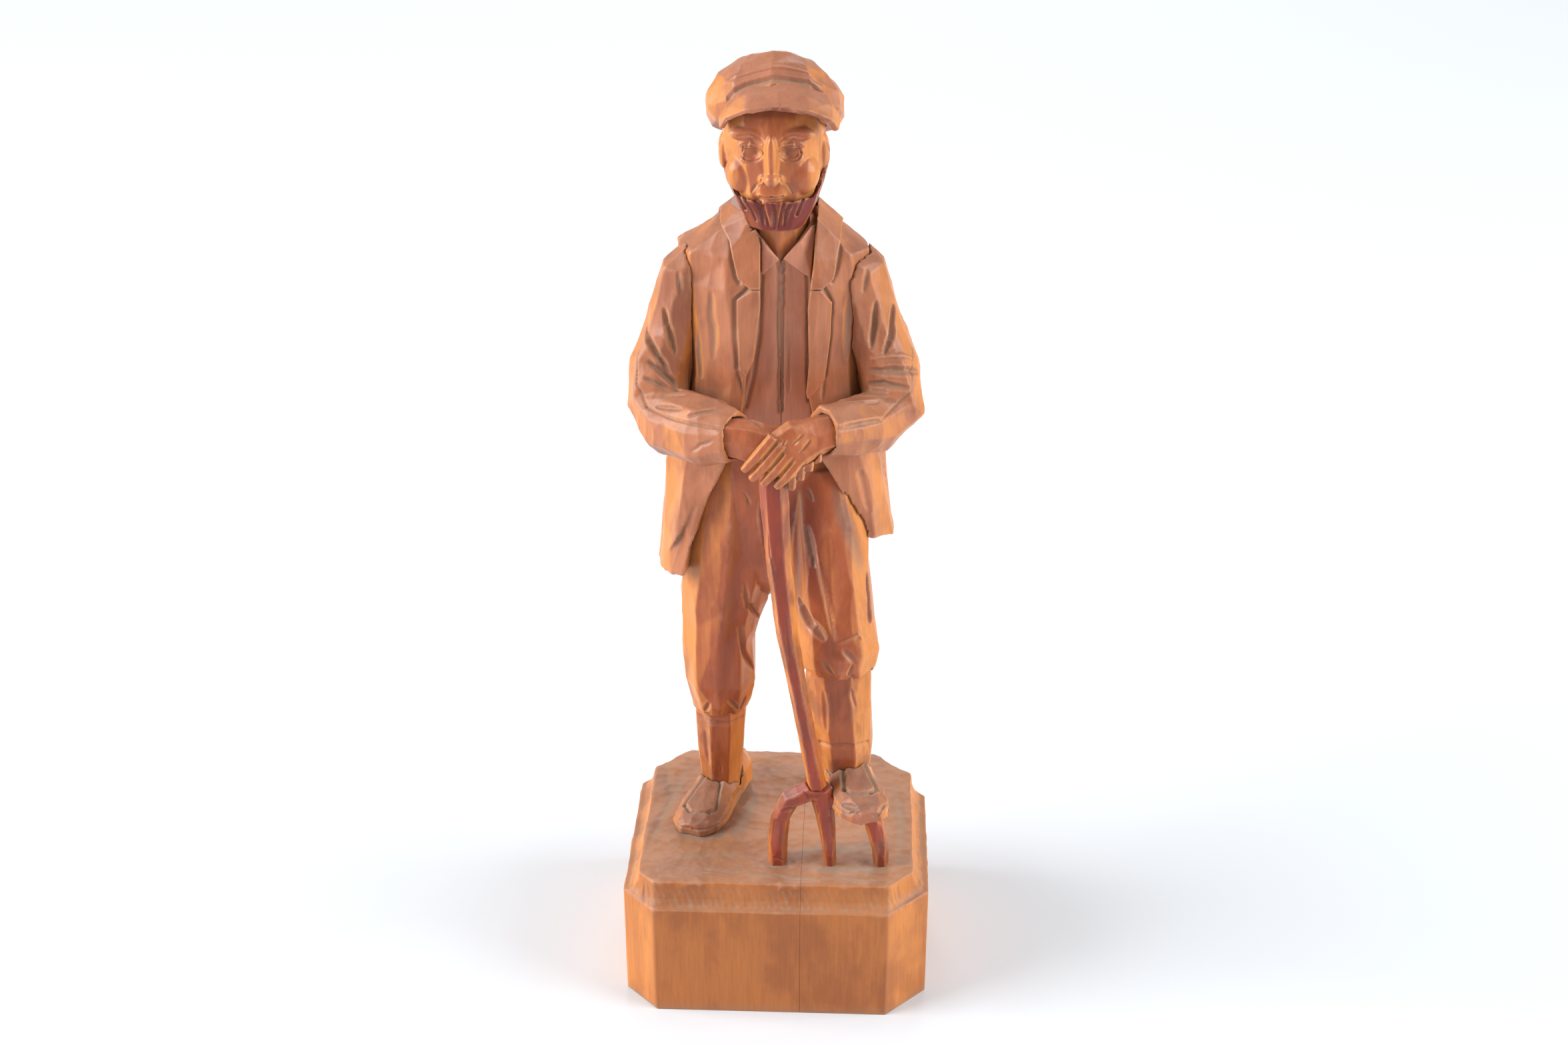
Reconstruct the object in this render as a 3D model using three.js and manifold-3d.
// A carved and stained wooden figure in a flat cap, with both hands on a garden fork and one foot
// on the fork's head, on an octagonal glued-up plinth.
//
// Millimetres, +Z up. The origin is the middle of the plinth's underside, and the figure faces -Y.
// "Right" and "left" are the figure's own sides, so right is -X. Everything above the plinth is
// worked out from the deck upwards, in a group that stands on the deck.

import * as THREE from "three";
import { mergeVertices } from "three/addons/utils/BufferGeometryUtils.js";
import Module from "manifold-3d";

const wasm = await Module();
wasm.setup();

// ---------------------------------------------------------------- driving dimensions

const clearance = 0.3; // the gap left between two pieces that are cut to each other

const plinth = {
  width: 90,
  depth: 76,
  arrisHeight: 36.6, // top of the upright faces
  coveHeight: 7.7, // rise of the gouged cove from the arris to the deck
  insetSide: 4.6, // how far the deck stands back at the sides
  insetFront: 3.5,
  insetBack: 2.3,
  glueLines: [-20, 7.5], // the planes in X where the boards meet
  corners: { frontRight: 9.6, frontLeft: 11.9, backLeft: 14.1, backRight: 10.8 },
  deckCorners: { frontRight: 5.0, frontLeft: 7.7, backLeft: 11.4, backRight: 10.6 },
};

const shoe = { length: 37.5, width: 16.6, height: 10.5 };
const shinRight = 25; // top of the right shoe to the breeches' gathered hem
const shinLeft = 25;
const kneeToCrotch = 39.5;
const crotchToWaist = 58;
const waistToShoulder = 49;
const shoulderToChin = 11.5;
const chinToCrown = 42.5;

const shoulderBreadth = 57; // over both sleeve heads
const chestBreadth = 49; // of the jacket at the armpits
const hemBreadth = 70.6; // of the jacket's flared skirt
const jacketDepth = 34;
const skirtLength = 48.5; // waist down to the hem at the right side
const hemLift = 12.5; // how much higher the hem hangs at the left side
const jacketProud = 3.2; // jacket front stands this far in front of the shirt
const lapelProud = 1.1; // lapels and shirt collar stand this far off what they lie on
const collarProud = 1.3;

const sleeveRadius = 8.3;
const elbowRadius = 9.8;
const elbowOut = { right: 8.4, left: 9.8 }; // elbows stand this far outside the shoulder points
const forearmRadius = { right: 9.8, left: 8 };
const cuffRadius = 7.2;
const fingerRadius = 1.6;

const fork = {
  handleWidth: 8, // at the hands
  shaftWidth: 5.8, // at the head
  headHeight: 24, // deck to the top of the arch that the left foot stands on
  tineWidth: 6,
  mortise: 5, // how deep the tines are let into the plinth
  line: -22.8, // the plane in Y that the fork stands in
};

const headBreadth = 27;
const headDepth = 31.5;
const beardThickness = 1;
const capBreadth = 37;
const peakThickness = 2.8;

// ---------------------------------------------------------------- levels above the deck

const rightSole = 0;
const rightKnee = rightSole + shoe.height - 1.5 + shinRight;
const leftSole = fork.headHeight - 2.5; // the sole is notched over the arch
const leftAnkle = leftSole + shoe.height + 3.5;
const leftKnee = leftAnkle + shinLeft;
const crotch = rightKnee + kneeToCrotch;
const waist = crotch + crotchToWaist;
const hands = waist + 3.5;
const elbow = waist + 7;
const armpit = waist + 30;
const shoulder = waist + waistToShoulder;
const chin = shoulder + shoulderToChin;
const crown = chin + chinToCrown;
const hemRight = waist - skirtLength;

const bodyX = -1.6; // the figure's own middle line
const bodyY = 8;
const ankleRight = { x: -18.4, y: 12.3 };
const ankleLeft = { x: 19.4, y: -9.8 };

// ---------------------------------------------------------------- solids

const solidOf = (geometry) => {
  geometry.deleteAttribute("normal");
  geometry.deleteAttribute("uv");
  const merged = mergeVertices(geometry, 1e-4);
  return new wasm.Manifold(
    new wasm.Mesh({
      numProp: 3,
      vertProperties: merged.attributes.position.array,
      triVerts: new Uint32Array(merged.index.array),
    }),
  );
};

const geometryOf = (solid) => {
  const mesh = solid.getMesh();
  const geometry = new THREE.BufferGeometry();
  geometry.setAttribute("position", new THREE.BufferAttribute(mesh.vertProperties, 3));
  geometry.setIndex(new THREE.BufferAttribute(mesh.triVerts, 1));
  geometry.computeVertexNormals();
  return geometry;
};

// A closed skin over a stack of rings, each ring a list of points that runs counterclockwise
// seen from the far end. It starts as a plain cylinder with as many sides and steps.
const skin = (rings) => {
  const sides = rings[0].length;
  const steps = rings.length - 1;
  const geometry = new THREE.CylinderGeometry(1, 1, 2, sides, steps);
  const position = geometry.attributes.position;
  const point = new THREE.Vector3();
  for (let i = 0; i < position.count; i += 1) {
    point.fromBufferAttribute(position, i);
    const ring = rings[Math.round(((point.y + 1) / 2) * steps)];
    if (Math.hypot(point.x, point.z) < 0.5) {
      point.set(0, 0, 0);
      ring.forEach((corner) => point.addScaledVector(corner, 1 / sides));
    } else {
      const turn = Math.atan2(point.x, point.z) / (2 * Math.PI);
      point.copy(ring[Math.round((turn + 1) * sides) % sides]);
    }
    position.setXYZ(i, point.x, point.y, point.z);
  }
  return solidOf(geometry);
};

// One station of a whittled body: its middle, its half breadth, and its half depths to the
// front and to the back.
const station = (x, y, z, wide, front, back = front) => ({
  at: new THREE.Vector3(x, y, z),
  wide,
  front,
  back,
});

// Knife work leaves no two flats alike, so each corner stands in or out by a few hundredths.
const knifeWobble = (side, step) => 1 + 0.025 * Math.sin(2.6 * side + 1.9 * step);

// A whittled body: flat-sided, with a section that changes from station to station. `side` is the
// direction of a section's breadth. With `follow` the sections turn with the path, or else they
// stay level. `square` above 2 makes a section boxier, and `grow` makes the whole body larger.
const whittled = (
  stations,
  { sides = 9, grow = 0, square = 2, follow = false, side, turn = 0 } = {},
) => {
  const breadth = side ?? new THREE.Vector3(1, 0, 0);
  const last = stations.length - 1;
  const rings = stations.map(({ at, wide, front, back }, step) => {
    const before = stations[Math.max(step - 1, 0)].at;
    const after = stations[Math.min(step + 1, last)].at;
    const along = follow ? after.clone().sub(before).normalize() : new THREE.Vector3(0, 0, 1);
    const across = breadth.clone().addScaledVector(along, -breadth.dot(along)).normalize();
    const forward = new THREE.Vector3().crossVectors(across, along);
    const middle = at.clone();
    if (step === 0) middle.addScaledVector(along, -grow);
    if (step === last) middle.addScaledVector(along, grow);
    return Array.from({ length: sides }, (_, corner) => {
      const angle = ((corner + turn) / sides) * 2 * Math.PI;
      const s = Math.sin(angle);
      const c = Math.cos(angle);
      const boxy = (Math.abs(s) ** square + Math.abs(c) ** square) ** (-1 / square);
      const reach = boxy * knifeWobble(corner, step);
      const depth = c > 0 ? front : back;
      return middle
        .clone()
        .addScaledVector(across, s * (wide * reach + grow))
        .addScaledVector(forward, c * (depth * reach + grow));
    });
  });
  return skin(rings);
};

// A block between two corners.
const block = (low, high) => {
  const geometry = new THREE.BoxGeometry(high[0] - low[0], high[1] - low[1], high[2] - low[2]);
  geometry.translate((low[0] + high[0]) / 2, (low[1] + high[1]) / 2, (low[2] + high[2]) / 2);
  return solidOf(geometry);
};

const FAR = 200;

// A flat outline in X and Z, as thick as the body is deep.
const frontSlab = (outline, nearY = -FAR, farY = FAR) => {
  const shape = new THREE.Shape(outline.map(([x, z]) => new THREE.Vector2(x, z)));
  const geometry = new THREE.ExtrudeGeometry(shape, { depth: farY - nearY, bevelEnabled: false });
  geometry.rotateX(Math.PI / 2);
  geometry.translate(0, farY, 0);
  return solidOf(geometry);
};

// A flat outline in Y and Z, as thick as the body is wide.
const sideSlab = (outline) => {
  const shape = new THREE.Shape(outline.map(([y, z]) => new THREE.Vector2(y, z)));
  const geometry = new THREE.ExtrudeGeometry(shape, { depth: 2 * FAR, bevelEnabled: false });
  geometry.rotateX(Math.PI / 2);
  geometry.rotateZ(Math.PI / 2);
  geometry.translate(-FAR, 0, 0);
  return solidOf(geometry);
};

const above = (z) => block([-FAR, -FAR, z], [FAR, FAR, FAR * 3]);

const cut = (solid, ...tools) => tools.reduce((left, tool) => left.subtract(tool), solid);
const join = (first, ...others) => others.reduce((all, other) => all.add(other), first);

// The largest single body of a solid: a cut can leave slivers beside the piece itself.
const mainBody = (solid) => solid.decompose().reduce((a, b) => (b.volume() > a.volume() ? b : a));

// ---------------------------------------------------------------- plinth

// An eight-cornered outline, counterclockwise from above, from the front's left end.
const octagon = (halfWide, halfDeep, corners, z) => {
  const { frontLeft, backLeft, backRight, frontRight } = corners;
  return [
    [halfWide - frontLeft, -halfDeep],
    [halfWide, -halfDeep + frontLeft],
    [halfWide, halfDeep - backLeft],
    [halfWide - backLeft, halfDeep],
    [-halfWide + backRight, halfDeep],
    [-halfWide, halfDeep - backRight],
    [-halfWide, -halfDeep + frontRight],
    [-halfWide + frontRight, -halfDeep],
  ].map(([x, y]) => new THREE.Vector3(x, y, z));
};

const plinthHeight = plinth.arrisHeight + plinth.coveHeight;

const plinthBlock = () => {
  const halfWide = plinth.width / 2;
  const halfDeep = plinth.depth / 2;
  const foot = octagon(halfWide, halfDeep, plinth.corners, 0);
  const arris = octagon(halfWide, halfDeep, plinth.corners, plinth.arrisHeight);
  const deck = octagon(
    halfWide - plinth.insetSide,
    halfDeep - (plinth.insetFront + plinth.insetBack) / 2,
    plinth.deckCorners,
    plinthHeight,
  );
  deck.forEach((corner) => {
    corner.y += (plinth.insetFront - plinth.insetBack) / 2;
  });
  // The cove is a quarter of an ellipse, steep where it reaches the deck.
  const coveSteps = 4;
  const cove = Array.from({ length: coveSteps - 1 }, (_, i) => {
    const angle = ((i + 1) / coveSteps) * (Math.PI / 2);
    return arris.map((corner, k) =>
      new THREE.Vector3(
        THREE.MathUtils.lerp(corner.x, deck[k].x, Math.sin(angle)),
        THREE.MathUtils.lerp(corner.y, deck[k].y, Math.sin(angle)),
        THREE.MathUtils.lerp(corner.z, deck[k].z, 1 - Math.cos(angle)),
      ),
    );
  });
  return skin([foot, arris, ...cove, deck]);
};

// ---------------------------------------------------------------- fork

const grip = fork.handleWidth / 2;
const shaft = fork.shaftWidth / 2;
const tine = fork.tineWidth / 2;
const tineFoot = { x: 0.4, drop: -fork.mortise };

// The shaft leans a little to the left on its way down, with the sweep of a bent stick.
const forkHandle = (grow = 0) =>
  whittled(
    [
      station(11.8, fork.line, fork.headHeight + 3, shaft, shaft * 1.25),
      station(9.8, fork.line - 0.4, fork.headHeight + 15, shaft * 0.94, shaft * 1.25),
      station(6.6, fork.line - 1, fork.headHeight + 34, shaft * 0.94, shaft * 1.3),
      station(3.2, fork.line - 1.2, hands - 57, (shaft + grip) * 0.46, grip * 0.98),
      station(0.8, fork.line - 1.2, hands - 34, grip * 0.92, grip),
      station(-0.4, fork.line - 1.2, hands - 12, grip, grip),
      station(-0.6, fork.line - 1.2, hands - 5, grip, grip),
    ],
    { sides: 6, grow, turn: 0.5 },
  );

const outerTine = (grow) =>
  whittled(
    [
      station(tineFoot.x, fork.line, tineFoot.drop, tine * 0.95, tine),
      station(tineFoot.x + 0.1, fork.line, 8, tine, tine),
      station(tineFoot.x + 0.9, fork.line, fork.headHeight - 8, tine, tine),
      station(tineFoot.x + 3.6, fork.line, fork.headHeight - 2, tine * 1.05, tine),
      station(11.5, fork.line, fork.headHeight + 2, tine * 1.2, tine * 1.1),
    ],
    { sides: 6, grow, turn: 0.5, follow: true },
  );

const middleTine = (grow) =>
  whittled(
    [
      station(16.2, fork.line - 0.8, -fork.mortise, tine * 0.6, tine * 0.7),
      station(15.6, fork.line - 0.5, 5, tine * 0.72, tine * 0.8),
      station(14.4, fork.line, fork.headHeight - 8, tine * 0.95, tine),
      station(13, fork.line, fork.headHeight + 1, tine * 1.3, tine * 1.2),
      station(12, fork.line, fork.headHeight + 2.6, tine * 1.4, tine * 1.3),
    ],
    { sides: 6, grow, turn: 0.5 },
  );

const innerTine = (grow) =>
  whittled(
    [
      station(31.2, fork.line, -fork.mortise, tine * 0.75, tine * 0.8),
      station(30.6, fork.line, 5, tine * 0.85, tine * 0.9),
      station(28.4, fork.line, fork.headHeight - 9, tine * 0.95, tine),
      station(25, fork.line, fork.headHeight - 3.6, tine, tine),
      station(19, fork.line, fork.headHeight - 2, tine, tine),
      station(12.5, fork.line, fork.headHeight - 1, tine, tine),
    ],
    { sides: 6, grow, turn: 0.5, follow: true },
  );

const forkHead = (grow = 0) => join(outerTine(grow), middleTine(grow), innerTine(grow));

// ---------------------------------------------------------------- legs

// A low shoe from heel to toe, cut flat at the sole. `turnOut` is how far the toe is swung out.
const shoeBody = (ankle, sole, turnOut, rise, grow = 0) => {
  const { length, width, height } = shoe;
  const heading = new THREE.Vector3(Math.sin(turnOut), -Math.cos(turnOut), 0);
  const profile = [
    [0, 0.3, 0.62],
    [0.1, 0.38, 0.86],
    [0.32, 0.4, 1],
    [0.52, 0.43, 0.84],
    [0.7, 0.49, 0.66],
    [0.86, 0.46, 0.54],
    [0.96, 0.33, 0.45],
    [1, 0.2, 0.36],
  ];
  const ankleShare = 0.34; // the ankle stands this far along the shoe
  const stations = profile.map(([share, wide, high]) => {
    const place = heading.clone().multiplyScalar((share - ankleShare) * length);
    const instep = share < 0.6 ? rise * (1 - share / 0.6) : 0;
    const tall = high * height + instep;
    return station(ankle.x + place.x, ankle.y + place.y, sole, wide * width, tall);
  });
  const body = whittled(stations, { sides: 12, grow, square: 2.6, follow: true });
  return body.intersect(above(sole - grow));
};

const turnOutRight = -0.34;
const turnOutLeft = 0.33;
const instepRight = 3;
const instepLeft = 10; // the left ankle is bent, so its shoe stands higher

const legging = (ankle, knee, foot, top, low, high, grow = 0) =>
  whittled(
    [
      station(ankle.x, ankle.y, foot, low * 0.9, low),
      station(ankle.x, ankle.y, foot + 6, low, low * 1.08),
      station((ankle.x + knee.x) / 2, (ankle.y + knee.y) / 2, (foot + top) / 2, (low + high) / 2, high),
      station(knee.x, knee.y, top - 2, high, high),
      station(knee.x, knee.y, top + 5, high * 0.94, high * 0.94),
    ],
    { sides: 8, grow, turn: 0.5 },
  );

const kneeRight = { x: -18.2, y: 11 };
const kneeLeft = { x: 17.4, y: -9 };
const tenon = 5; // how far a legging reaches down into its shoe

const rightLegging = (grow = 0) =>
  legging(ankleRight, kneeRight, shoe.height - tenon - 1.5, rightKnee, 6.6, 8.2, grow);
const leftLegging = (grow = 0) =>
  legging(ankleLeft, kneeLeft, leftAnkle - tenon - 3, leftKnee, 8.8, 10, grow);

// Breeches bag out over a gathered hem and run up under the jacket.
const rightBreeches = (grow = 0) =>
  whittled(
    [
      station(kneeRight.x, kneeRight.y, rightKnee - 0.6, 8.6, 8.6),
      station(kneeRight.x + 0.2, kneeRight.y - 0.6, rightKnee + 3.5, 9.6, 9.6),
      station(kneeRight.x + 0.1, kneeRight.y - 1.4, rightKnee + 11, 11, 10.8),
      station(kneeRight.x - 0.2, kneeRight.y - 1.8, rightKnee + 24, 11.1, 11),
      station(kneeRight.x + 0.8, kneeRight.y - 2, crotch - 8, 12, 11.4),
      station(kneeRight.x + 1.8, kneeRight.y - 2.2, crotch - 1, 13.4, 12),
      station(kneeRight.x + 2.8, kneeRight.y - 2.4, crotch + 7, 13.6, 12.8),
      station(kneeRight.x + 4.4, kneeRight.y - 2.8, crotch + 28, 13, 13.4),
      station(kneeRight.x + 6, kneeRight.y - 2.6, crotch + 44, 10, 11.6),
    ],
    { sides: 10, grow },
  );

const leftBreeches = (grow = 0) =>
  whittled(
    [
      station(kneeLeft.x, kneeLeft.y, leftKnee - 0.6, 10.4, 10.2),
      station(kneeLeft.x - 0.2, kneeLeft.y, leftKnee + 2.4, 11.2, 11.4),
      station(kneeLeft.x, kneeLeft.y, leftKnee + 6.5, 11.9, 12),
      station(kneeLeft.x - 1.4, kneeLeft.y + 3, leftKnee + 17, 11.4, 12.2),
      station(kneeLeft.x - 2.8, kneeLeft.y + 7.5, crotch + 17, 11.2, 12.6),
      station(kneeLeft.x - 3.6, kneeLeft.y + 11.5, crotch + 30, 12, 13),
      station(kneeLeft.x - 6, kneeLeft.y + 15, crotch + 45, 10, 11),
    ],
    { sides: 10, grow },
  );

const breechesSeat = (grow = 0) =>
  whittled(
    [
      station(bodyX - 0.4, bodyY + 1, crotch + 1, 6, 4, 5),
      station(bodyX - 1, bodyY + 1, crotch + 4, 11, 7.4, 9),
      station(bodyX - 1, bodyY + 1, crotch + 8, 16, 10.4, 12),
      station(bodyX, bodyY + 1, crotch + 15, 20, 12.4, 14),
      station(bodyX, bodyY, crotch + 30, 23, 13.6, 14),
      station(bodyX, bodyY, waist - 14, 22, 13.4, 13.5),
      station(bodyX, bodyY, waist - 1, 19.5, 12.6, 13),
    ],
    { sides: 12, grow, square: 2.4 },
  );

const flyX = bodyX - 0.4; // the two halves of the breeches meet at the front and back seams

const breechesHalf = (leg, low, high) =>
  mainBody(
    cut(
      join(leg, breechesSeat()).intersect(block([low, -FAR, -FAR], [high, FAR, FAR])),
      rightLegging(clearance),
      leftLegging(clearance),
      forkHandle(clearance),
    ),
  );

// ---------------------------------------------------------------- shirt, neck and head

const shirtDepth = jacketDepth / 2 - jacketProud;

const shirtBody = (grow = 0) =>
  whittled(
    [
      station(bodyX, bodyY, waist, 20, shirtDepth - 0.6, shirtDepth - 1),
      station(bodyX, bodyY, waist + 15, 19.5, shirtDepth, shirtDepth),
      station(bodyX, bodyY, armpit + 4, 20, shirtDepth + 0.4, shirtDepth),
      station(bodyX, bodyY, shoulder - 3, 17.5, shirtDepth - 1.4, shirtDepth - 2),
      station(bodyX + 0.6, bodyY - 2.2, shoulder + 5, 12.2, 10.6, 10),
      station(bodyX + 1, bodyY - 3.6, shoulder + 9.5, 9.8, 8.8, 9),
    ],
    { sides: 12, grow, square: 2.3 },
  );

const neckBody = (grow = 0) =>
  whittled(
    [
      station(bodyX + 1, bodyY - 3, shoulder - 4, 7.6, 8),
      station(bodyX + 1.4, bodyY - 4.6, chin - 4, 7.6, 7.8),
      station(bodyX + 1.8, bodyY - 6, chin + 5, 7.4, 7.6),
    ],
    { sides: 9, grow },
  );

const halfHead = headBreadth / 2;
const halfHeadDepth = headDepth / 2;

const headBody = (grow = 0) =>
  whittled(
    [
      station(bodyX + 1.4, bodyY - 12.6, chin, halfHead * 0.44, 6, 6.5),
      station(bodyX + 1.2, bodyY - 10.6, chin + 4, halfHead * 0.68, 9.4, 9.5),
      station(bodyX + 0.9, bodyY - 8.8, chin + 9.5, halfHead * 0.86, halfHeadDepth * 0.86),
      station(bodyX + 0.5, bodyY - 7.8, chin + 16, halfHead * 0.97, halfHeadDepth * 0.95),
      station(bodyX + 0.1, bodyY - 7.4, chin + 23, halfHead, halfHeadDepth),
      station(bodyX - 0.1, bodyY - 6.6, chin + 29, halfHead * 0.95, halfHeadDepth * 0.93),
      station(bodyX - 0.1, bodyY - 5.4, chin + 34, halfHead * 0.76, halfHeadDepth * 0.7),
      station(bodyX - 0.1, bodyY - 4.6, chin + 36.6, halfHead * 0.4, halfHeadDepth * 0.36),
    ],
    { sides: 12, grow, square: 2.2 },
  );

// What stays clear for the head and the beard on it.
const headSpace = () => headBody(clearance + beardThickness + clearance);

// A beard along the jaw: it lies on the head and ends in front of the ears.
const beardBody = () => {
  const jaw = sideSlab([
    [-FAR, chin - 12],
    [-FAR, chin + 7],
    [bodyY - 17, chin + 7.5],
    [bodyY - 8, chin + 14],
    [bodyY - 5, chin + 14],
    [bodyY - 7, chin + 4],
    [bodyY - 10, chin - 12],
  ]);
  return mainBody(headBody(clearance + beardThickness).intersect(jaw).subtract(headBody(clearance)));
};

// ---------------------------------------------------------------- cap

const halfCap = capBreadth / 2;
const capTilt = 0.5; // radians that the rim drops towards the nape

// A point of the cap, told as a distance up its tilted axis.
const capAxis = new THREE.Vector3(0, Math.sin(capTilt), Math.cos(capTilt));
const capFoot = new THREE.Vector3(bodyX + 0.3, bodyY - 5.8, crown - 19.8);

const capBody = (grow = 0) =>
  whittled(
    [
      [0, 0.88, 17, 17],
      [3.2, 1, 19, 19.6],
      [7.4, 1, 19.6, 19],
      [12, 0.83, 18.4, 16],
      [15.6, 0.54, 15, 10.6],
      [17.2, 0.26, 9.4, 4],
    ].map(([up, wide, front, back]) => {
      const at = capFoot.clone().addScaledVector(capAxis, up);
      return station(at.x, at.y, at.z, wide * halfCap, front, back);
    }),
    { sides: 11, grow, follow: true },
  );

// The peak arches over the brow from temple to temple.
const peakBody = (grow = 0) => {
  const halfPeak = 14.2;
  const steps = 7;
  const stations = Array.from({ length: steps }, (_, i) => {
    const angle = (i / (steps - 1) - 0.5) * Math.PI;
    const x = bodyX + 2 + halfPeak * Math.sin(angle);
    const y = bodyY - 15 - 8.6 * Math.cos(angle);
    const z = crown - 15.6 + 8.4 * Math.cos(angle);
    const taper = 0.55 + 0.45 * Math.cos(angle);
    return station(x, y, z, 5.4 * taper, peakThickness / 2);
  });
  return whittled(stations, {
    sides: 6,
    grow,
    square: 3,
    follow: true,
    side: new THREE.Vector3(0, -0.93, -0.36),
  });
};

// ---------------------------------------------------------------- jacket

const jacketBody = (grow = 0) => {
  const deep = jacketDepth / 2;
  const chest = chestBreadth / 2;
  const hem = hemBreadth / 2;
  return whittled(
    [
      station(bodyX + 1.2, bodyY + 0.6, hemRight - 1, hem, deep + 1, deep + 2),
      station(bodyX + 0.8, bodyY + 0.6, hemRight + 16, hem * 0.94, deep + 1, deep + 1.4),
      station(bodyX + 0.2, bodyY + 0.3, waist - 13, hem * 0.86, deep + 0.6, deep + 0.4),
      station(bodyX, bodyY, waist + 1, chest * 1.08, deep, deep - 0.6),
      station(bodyX, bodyY, waist + 15, chest, deep, deep - 0.4),
      station(bodyX, bodyY, armpit, chest, deep + 0.6, deep),
      station(bodyX - 0.2, bodyY, shoulder - 8, chest * 1.06, deep, deep - 0.4),
      station(bodyX - 0.3, bodyY, shoulder + 0.5, chest * 1.06, deep - 2.4, deep - 3),
      station(bodyX, bodyY - 0.5, shoulder + 6.8, chest * 0.69, deep - 4.6, deep - 5),
      station(bodyX + 0.4, bodyY - 1, shoulder + 11, chest * 0.42, deep - 6.6, deep - 6.4),
    ],
    { sides: 14, grow, square: 2.4 },
  );
};

// The jacket's front edges, from collar to hem, on the figure's right and left. Each point has
// its place in X and Z, the Y of the edge there, and how much it draws inwards for each
// millimetre further in.
const rightEdge = [
  [-8.2, shoulder + 18, -4, 0],
  [-4.6, shoulder + 4.5, -8, 0],
  [-4.6, armpit + 7, -9, 0],
  [-6.6, waist + 22, -9, 0],
  [-9.6, waist + 7, -9, 0.1],
  [-14.4, waist - 8, -9, 0.1],
  [-19.6, waist - 20, -9, 0.1],
  [-25.6, hemRight + 11, -6, 0.1],
  [-28.8, hemRight - 12, -4, 0.1],
];
const leftEdge = [
  [10.4, shoulder + 18, -4, 0],
  [9.8, shoulder + 4.5, -8, 0],
  [8, armpit + 7, -9, 0],
  [8.4, waist + 22, -9, 0],
  [9.2, waist + 7, -9, 0.1],
  [12.4, waist - 8, -9, 0.1],
  [16.6, waist - 16, -9, 0.1],
  [21.8, hemRight + 21, -8, 0.1],
  [31, hemRight - 12, -8, 0.1],
];

const frontOpening = (shrink = 0) => {
  const ringAt = (y) => {
    const edgePoint = (edge, sign) =>
      edge.map(([x, z, edgeY, draw]) => {
        const inward = draw * (y - edgeY);
        return new THREE.Vector3(x + sign * (inward + shrink), y, z);
      });
    return [...edgePoint(rightEdge, 1), ...edgePoint(leftEdge, -1).reverse()];
  };
  return skin([ringAt(bodyY + 3), ringAt(-40)]);
};

// The hem hangs higher on the side of the raised knee, and there it also rises to the front edge.
const hemLeft = hemRight + hemLift;
const hemCut = () => {
  const slope = hemLift / hemBreadth;
  const levelAt = (x) => hemRight + (x + hemBreadth / 2) * slope;
  const level = frontSlab([
    [-FAR, -FAR],
    [FAR, -FAR],
    [FAR, levelAt(FAR)],
    [-FAR, levelAt(-FAR)],
  ]);
  const rise = sideSlab([
    [-FAR, -FAR],
    [bodyY - 2, -FAR],
    [bodyY - 2, hemLeft - 1],
    [bodyY - 12, hemLeft + 2.4],
    [bodyY - 16, hemLeft + 8.6],
    [bodyY - 30, hemLeft + 30],
    [-FAR, hemLeft + 30],
  ]);
  return join(level, rise.intersect(block([0, -FAR, -FAR], [FAR, FAR, FAR])));
};

// The flat facet between the right front edge and the ridge beside it.
const skirtFacet = () => {
  const reach = 60;
  const outwards = new THREE.Vector3(-0.68, -0.73, 0.095).normalize();
  const box = new THREE.BoxGeometry(reach, reach, reach);
  box.translate(0, 0, reach / 2);
  box.applyQuaternion(
    new THREE.Quaternion().setFromUnitVectors(new THREE.Vector3(0, 0, 1), outwards),
  );
  box.translate(-hemBreadth / 2 + 0.5, bodyY - 5.4, hemRight + 1.2);
  const besideRidge = frontSlab(
    [
      [-hemBreadth / 2 - 1.4, hemRight - 1],
      [-30.2, hemRight + 10.5],
      [-24.6, hemRight + 23],
      [-16.4, waist - 10],
      [-12, waist - 8],
      [-12, hemRight - 14],
      [-hemBreadth / 2 - 1.4, hemRight - 14],
    ],
    -FAR,
    bodyY,
  );
  return solidOf(box).intersect(besideRidge);
};

const jacketShell = () =>
  cut(
    jacketBody(),
    shirtBody(clearance),
    neckBody(clearance),
    headSpace(),
    breechesSeat(clearance),
    rightBreeches(clearance),
    leftBreeches(clearance),
    frontOpening(),
    hemCut(),
    skirtFacet(),
  );

const seamY = bodyY + 1; // side seams and shoulder seams lie in one plane

const behindSeam = () => block([-FAR, seamY, -FAR], [FAR, FAR, FAR * 3]);
const rightOfMiddle = () => block([-FAR, -FAR, -FAR], [0, seamY, FAR * 3]);
const leftOfMiddle = () => block([0, -FAR, -FAR], [FAR, seamY, FAR * 3]);

// The collar and the lapels lie on the jacket. The collar stands round the back of the neck and
// runs down to the notches, where the lapels begin.
const notch = armpit + 12.4;

const turnedOver = (proud, region) =>
  mainBody(
    cut(
      jacketBody(clearance + proud).intersect(region),
      jacketBody(clearance),
      shirtBody(clearance + lapelProud + clearance),
      neckBody(collarProud),
      headSpace(),
      frontOpening(),
    ),
  );

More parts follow.
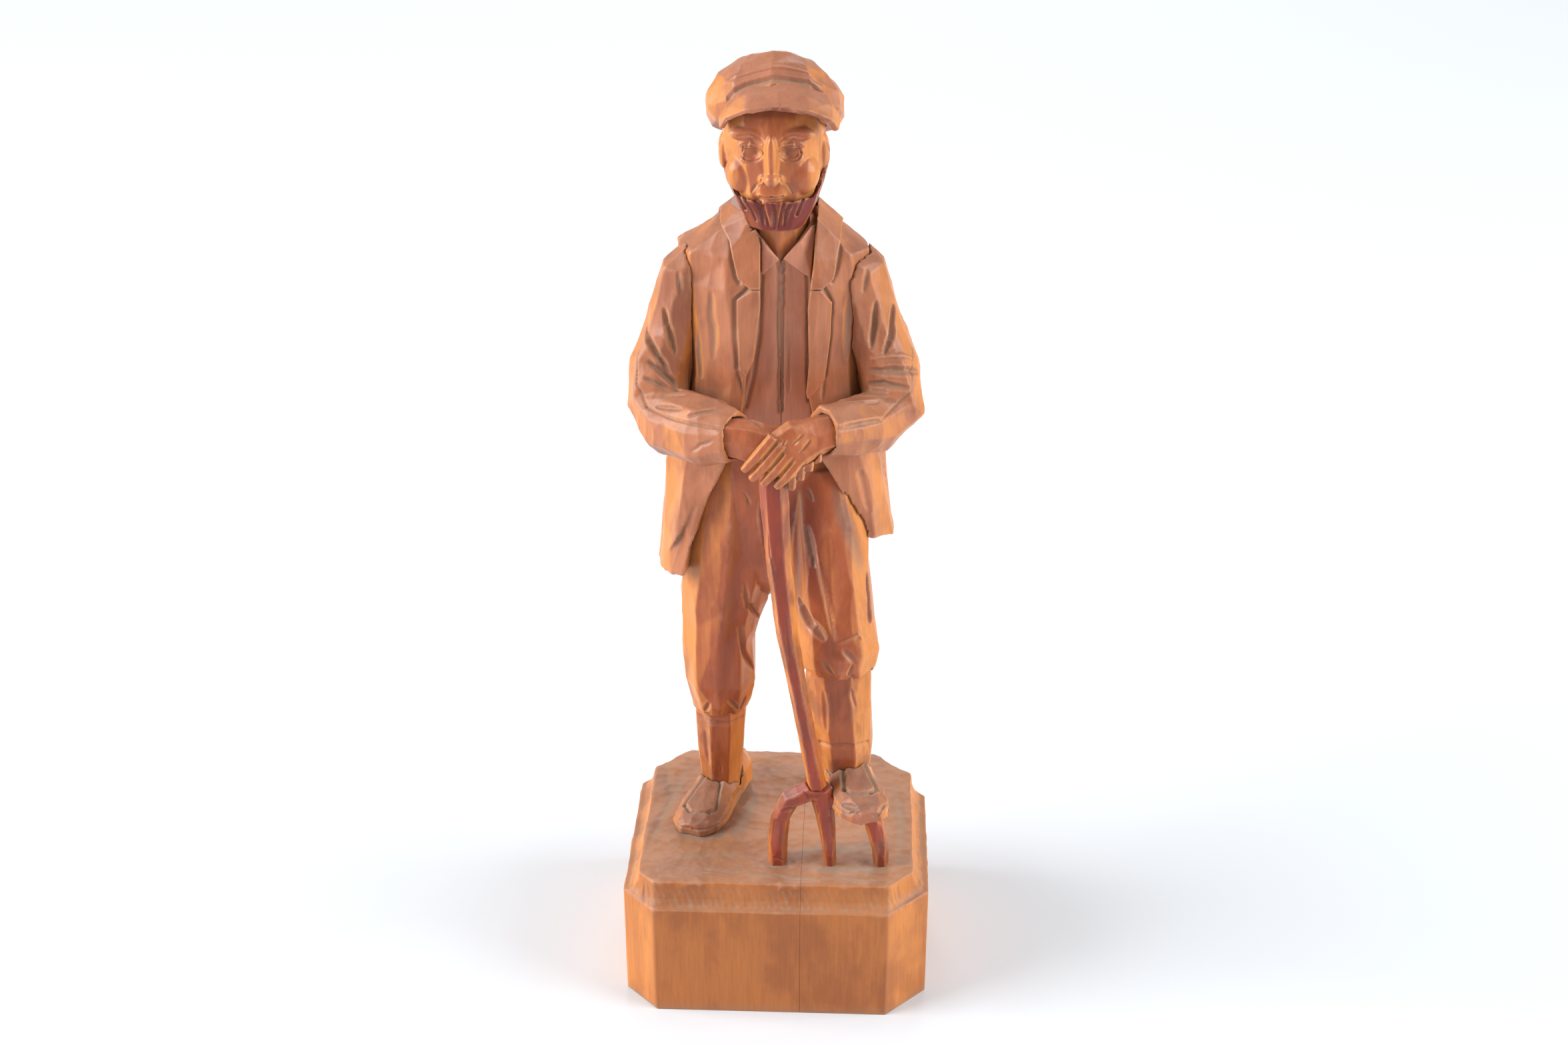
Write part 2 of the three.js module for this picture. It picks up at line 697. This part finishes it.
const jacketCollar = () => {
  const front = frontSlab(
    [
      [-2, notch],
      [-7.2, notch],
      [-10.6, notch + 2.6],
      [-12.8, shoulder + 5],
      [-15.8, shoulder + 9],
      [-17, shoulder + 18],
      [17.6, shoulder + 18],
      [17, shoulder + 8],
      [15.8, shoulder + 2],
      [14.8, notch + 2.2],
      [11.9, notch],
      [4, notch],
      [4, shoulder + 7],
      [-2, shoulder + 7],
    ].reverse(),
    -FAR,
    seamY,
  );
  const back = frontSlab(
    [
      [-17, shoulder + 18],
      [-16.6, shoulder + 7.4],
      [bodyX - 8, shoulder + 3],
      [bodyX + 8, shoulder + 3],
      [16.8, shoulder + 6.6],
      [17.6, shoulder + 18],
    ],
    seamY,
    FAR,
  );
  return turnedOver(collarProud, join(front, back));
};

const lapel = (outline) => turnedOver(lapelProud, frontSlab(outline, -FAR, bodyY - 4));

const rightLapelOutline = [
  [-2, notch - clearance],
  [-7, notch - clearance],
  [-10.8, notch - 3],
  [-10.6, waist + 29],
  [-10.4, waist + 20],
  [-2, waist + 6],
];
const leftLapelOutline = [
  [4, notch - clearance],
  [11.6, notch - clearance],
  [14.4, notch - 4.4],
  [14, waist + 29],
  [12.6, waist + 16],
  [4, waist + 6],
].reverse();

// ---------------------------------------------------------------- shirt pieces

const placketX = 0.6; // the front edge of the shirt, where the two halves meet

const collarPit = shoulder + 0.4; // where the leaves of the shirt's collar part

// The open neck of the shirt, between the leaves of its collar.
const neckline = () =>
  frontSlab(
    [
      [placketX + 0.2, collarPit - 1],
      [placketX + 8.4, collarPit + 9],
      [placketX - 8, collarPit + 9],
    ],
    -FAR,
    bodyY - 4,
  );

const shirtHalf = (low, high) =>
  mainBody(
    cut(shirtBody(), neckBody(clearance), headSpace(), neckline()).intersect(
      block([low, -FAR, -FAR], [high, FAR, FAR * 3]),
    ),
  );

const collarLeaf = (outline) =>
  mainBody(
    cut(
      shirtBody(clearance + lapelProud)
        .intersect(frontSlab(outline, -FAR, bodyY - 4))
        .intersect(frontOpening(clearance)),
      shirtBody(clearance),
      neckBody(clearance),
      headSpace(),
    ),
  );

const rightLeafOutline = [
  [placketX - 0.2, collarPit],
  [placketX - 7.4, collarPit + 8],
  [-16, collarPit + 8],
  [-16, collarPit - 6],
  [-4.6, collarPit - 4.8],
];
const leftLeafOutline = [
  [placketX + 0.6, collarPit],
  [placketX + 7.8, collarPit + 8],
  [18, collarPit + 8],
  [18, collarPit - 6],
  [7.6, collarPit - 4.8],
].reverse();

// ---------------------------------------------------------------- sleeves and hands

const wristRight = new THREE.Vector3(-10.6, -22.6, hands + 2.2);
const wristLeft = new THREE.Vector3(12.4, -22, hands + 3.6);
const shoulderRight = bodyX - shoulderBreadth / 2 + 5.5;
const shoulderLeft = bodyX + shoulderBreadth / 2 - 5.5;

// From the shoulder down to the elbow and forward to the cuff. `out` is -1 on the right.
const sleeve = (shoulderX, wrist, out, elbowOut, forearm, grow = 0) =>
  whittled(
    [
      station(shoulderX - out * 4, bodyY - 2, shoulder - 2, sleeveRadius * 0.7, 8),
      station(shoulderX - out * 0.4, bodyY - 2.2, shoulder - 6.4, sleeveRadius * 0.92, 10),
      station(shoulderX + out * 3.8, bodyY - 3, armpit - 3, sleeveRadius * 0.96, 10),
      station(shoulderX + out * (elbowOut - 1.2), bodyY - 5, elbow + 9, sleeveRadius * 1.03, 10),
      station(shoulderX + out * elbowOut, bodyY - 8.6, elbow - 1, elbowRadius * 0.93, elbowRadius),
      station(
        shoulderX + out * 4.2,
        bodyY - 15,
        (elbow - 4 + wrist.z) / 2 - 1.4,
        (elbowRadius + forearm) / 2,
        (elbowRadius + forearm) / 2,
      ),
      station(
        (shoulderX + wrist.x) / 2 + out,
        (bodyY - 13 + wrist.y) / 2 - 3,
        wrist.z - 1.2,
        forearm * 0.94,
        forearm,
      ),
      station(wrist.x, wrist.y, wrist.z, cuffRadius * 0.86, cuffRadius),
    ],
    { sides: 9, grow, follow: true, side: new THREE.Vector3(1, -0.5, 0) },
  );

const finger = (root, bend, tip, radius, grow) =>
  whittled(
    [root, bend, tip].map((p, i) =>
      station(p.x, p.y, p.z, radius * (i === 2 ? 0.72 : 1), radius * (i === 2 ? 0.72 : 1)),
    ),
    { sides: 6, grow, follow: true, side: new THREE.Vector3(0, -1, 0.2), square: 2.6 },
  );

// The left hand lies on top, and its four fingers point down across the right hand.
const leftHand = (grow = 0) => {
  const down = new THREE.Vector3(-0.64, -0.1, -0.76);
  const across = new THREE.Vector3(0.76, -0.02, -0.64);
  const knuckles = new THREE.Vector3(3.3, -27.6, hands + 1.6);
  const palm = whittled(
    [
      station(wristLeft.x + 2.4, wristLeft.y + 0.6, wristLeft.z + 0.2, 5, 3.6),
      station(wristLeft.x - 2.5, wristLeft.y - 1.8, wristLeft.z - 0.4, 5.4, 3.4),
      station(knuckles.x + 2.6, knuckles.y + 1.4, knuckles.z + 1, 6.4, 3),
      station(knuckles.x - 1, knuckles.y + 0.8, knuckles.z - 1.2, 6, 2.2),
    ],
    { sides: 8, grow, follow: true, side: across, square: 2.6 },
  );
  const lengths = [12.4, 13, 12.2, 10.4];
  const fingers = lengths.map((length, i) => {
    const root = knuckles.clone().addScaledVector(across, (i - 1.5) * fingerRadius * 2.02);
    const bend = root.clone().addScaledVector(down, length * 0.5).add(new THREE.Vector3(0, -0.9, 0));
    const tip = root.clone().addScaledVector(down, length);
    return finger(root, bend, tip, fingerRadius, grow);
  });
  return join(palm, ...fingers);
};

// The right hand closes over the top of the handle. Its knuckles show below the left hand.
const rightHand = (grow = 0) => {
  const palm = whittled(
    [
      station(wristRight.x - 2.4, wristRight.y + 0.8, wristRight.z - 0.2, 5.2, 4.4),
      station(wristRight.x + 3.4, wristRight.y - 0.4, wristRight.z - 0.4, 5.8, 4.6),
      station(-1, -23.4, hands - 0.8, 6.6, 4.6),
      station(5.4, -23, hands - 1.6, 6, 4),
    ],
    { sides: 8, grow, follow: true, side: new THREE.Vector3(0, 0, 1), square: 2.8 },
  );
  const fingers = [0, 1, 2, 3].map((i) => {
    const root = new THREE.Vector3(3.6 + 1.9 * i, -23, hands - 3 + 1.1 * i);
    const bend = new THREE.Vector3(4.6 + 2.3 * i, -26.4, hands - 6.6 + 2.4 * i);
    const tip = new THREE.Vector3(4.4 + 2.3 * i, -25.4, hands - 11.4 + 2.7 * i);
    return finger(root, bend, tip, fingerRadius, grow);
  });
  return join(palm, ...fingers);
};

const rightSleeve = (grow = 0) =>
  sleeve(shoulderRight, wristRight, -1, elbowOut.right, forearmRadius.right, grow);
const leftSleeve = (grow = 0) =>
  sleeve(shoulderLeft, wristLeft, 1, elbowOut.left, forearmRadius.left, grow);

// ---------------------------------------------------------------- colours and the assembly

const stains = {
  plinth: "#b5683a",
  jacket: "#b0704a",
  shirt: "#a8684a",
  breeches: "#c1733f",
  legging: "#bd6b3a",
  shoe: "#a8613f",
  skin: "#c98040",
  beard: "#96503a",
  cap: "#b06a48",
  fork: "#a9583a",
};

const part = new THREE.Group();
const figure = new THREE.Group();
figure.position.z = plinthHeight;
part.add(figure);

const place = (parent, name, stain, solid) => {
  const material = new THREE.MeshStandardMaterial({
    color: stains[stain],
    roughness: 0.45,
    metalness: 0,
  });
  const mesh = new THREE.Mesh(geometryOf(solid), material);
  mesh.name = name;
  parent.add(mesh);
};

// Plinth boards, with mortises for the tines.
const [firstGlueLine, secondGlueLine] = plinth.glueLines;
const mortised = cut(plinthBlock(), forkHead(clearance).translate([0, 0, plinthHeight]));
const boards = [
  ["plinth_right_board", -FAR, firstGlueLine],
  ["plinth_middle_board", firstGlueLine, secondGlueLine],
  ["plinth_left_board", secondGlueLine, FAR],
];
boards.forEach(([name, low, high]) => {
  const board = mortised.intersect(block([low, -FAR, -1], [high, FAR, FAR]));
  place(part, name, "plinth", board);
});

// Fork.
place(figure, "fork_handle", "fork", forkHandle());
place(figure, "fork_head", "fork", mainBody(cut(forkHead(), forkHandle(clearance))));

// Shoes, leggings and breeches.
place(
  figure,
  "right_shoe",
  "shoe",
  mainBody(cut(shoeBody(ankleRight, rightSole, turnOutRight, instepRight), rightLegging(clearance))),
);
place(
  figure,
  "left_shoe",
  "shoe",
  mainBody(
    cut(
      shoeBody(ankleLeft, leftSole, turnOutLeft, instepLeft),
      leftLegging(clearance),
      forkHead(clearance),
      forkHandle(clearance),
    ),
  ),
);
place(figure, "right_legging", "legging", rightLegging());
place(figure, "left_legging", "legging", leftLegging());
place(figure, "right_breeches", "breeches", breechesHalf(rightBreeches(), -FAR, flyX));
place(figure, "left_breeches", "breeches", breechesHalf(leftBreeches(), flyX, FAR));

// Shirt, neck, head and cap.
place(figure, "shirt_right_front", "shirt", shirtHalf(-FAR, placketX));
place(figure, "shirt_left_front", "shirt", shirtHalf(placketX, FAR));
place(figure, "shirt_right_collar", "shirt", collarLeaf(rightLeafOutline));
place(figure, "shirt_left_collar", "shirt", collarLeaf(leftLeafOutline));
place(figure, "neck", "skin", neckBody());
place(figure, "head", "skin", mainBody(cut(headBody(), neckBody(clearance))));
place(figure, "beard", "beard", mainBody(cut(beardBody(), neckBody(clearance))));
place(figure, "cap_crown", "cap", mainBody(cut(capBody(), headBody(clearance))));
place(
  figure,
  "cap_peak",
  "cap",
  mainBody(cut(peakBody(), headBody(clearance), capBody(clearance))),
);

// Jacket.
const shell = jacketShell();
place(figure, "jacket_back", "jacket", mainBody(shell.intersect(behindSeam())));
place(figure, "jacket_right_front", "jacket", mainBody(shell.intersect(rightOfMiddle())));
place(figure, "jacket_left_front", "jacket", mainBody(shell.intersect(leftOfMiddle())));
place(figure, "jacket_collar", "jacket", jacketCollar());
place(figure, "right_lapel", "jacket", lapel(rightLapelOutline));
place(figure, "left_lapel", "jacket", lapel(leftLapelOutline));

// Sleeves and hands. The left hand and cuff lie over the right hand, and both hands over the handle.
place(
  figure,
  "right_sleeve",
  "jacket",
  mainBody(cut(rightSleeve(), jacketBody(clearance), rightHand(clearance))),
);
place(
  figure,
  "left_sleeve",
  "jacket",
  mainBody(cut(leftSleeve(), jacketBody(clearance), leftHand(clearance))),
);
place(
  figure,
  "right_hand",
  "skin",
  mainBody(cut(rightHand(), forkHandle(clearance), leftHand(clearance), leftSleeve(clearance))),
);
place(figure, "left_hand", "skin", mainBody(cut(leftHand(), forkHandle(clearance))));

export default part;
